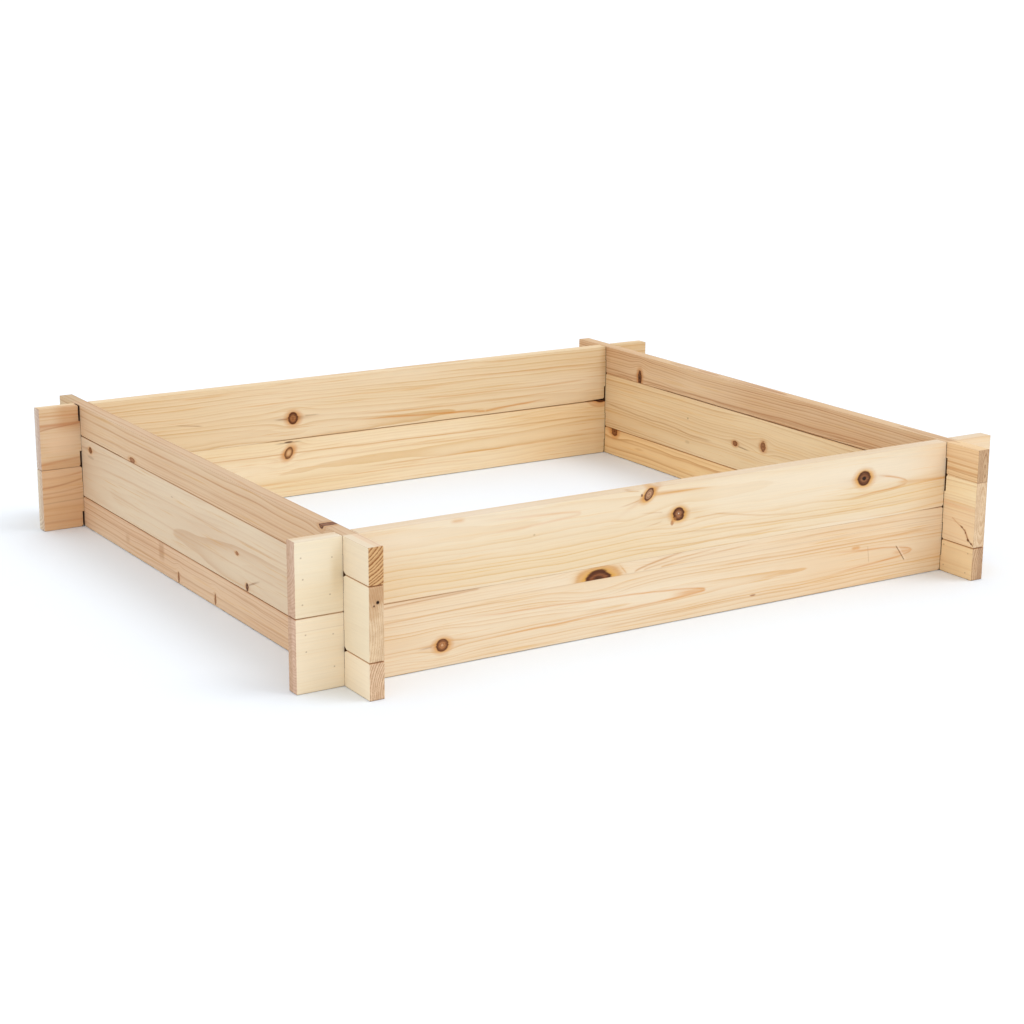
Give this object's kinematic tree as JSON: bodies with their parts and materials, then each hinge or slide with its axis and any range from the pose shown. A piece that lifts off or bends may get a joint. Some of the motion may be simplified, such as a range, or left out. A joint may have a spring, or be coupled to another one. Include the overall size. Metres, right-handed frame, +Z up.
{
  "type": "raised garden bed",
  "caption": "Rectangular raised garden bed of planed softwood boards, notched to interlock at the corners and held together by their weight, with board ends standing out past each corner.",
  "frame": {"origin": "on the ground, under the middle of the frame", "axes": "+X to the right along the front wall, +Y from the front wall to the back wall, +Z up"},
  "size_m": [1, 0.9, 0.17],
  "materials": {
    "pine_front": "planed, untreated",
    "pine_back": "planed, untreated",
    "pine_left": "planed, untreated",
    "pine_right": "planed, untreated"
  },
  "bodies": {
    "ground_course": {"left_board_bottom": "pine_left", "right_board_bottom": "pine_right"},
    "lower_course": {"front_board_lower": "pine_front", "back_board_lower": "pine_back"},
    "middle_course": {"left_board_middle": "pine_left", "right_board_middle": "pine_right"},
    "upper_course": {"front_board_upper": "pine_front", "back_board_upper": "pine_back"},
    "left_rim_board": {"left_board_top": "pine_left"},
    "right_rim_board": {"right_board_top": "pine_right"}
  },
  "joints": [
    {"name": "lower_course_lift", "type": "slide", "parent": "ground_course", "child": "lower_course", "axis": [0, 0, 1], "range_m": [0, 0.06]},
    {"name": "middle_course_lift", "type": "slide", "parent": "lower_course", "child": "middle_course", "axis": [0, 0, 1], "range_m": [0, 0.06]},
    {"name": "upper_course_lift", "type": "slide", "parent": "middle_course", "child": "upper_course", "axis": [0, 0, 1], "range_m": [0, 0.06]},
    {"name": "left_rim_lift", "type": "slide", "parent": "upper_course", "child": "left_rim_board", "axis": [0, 0, 1], "range_m": [0, 0.06]},
    {"name": "right_rim_lift", "type": "slide", "parent": "upper_course", "child": "right_rim_board", "axis": [0, 0, 1], "range_m": [0, 0.06]}
  ]
}
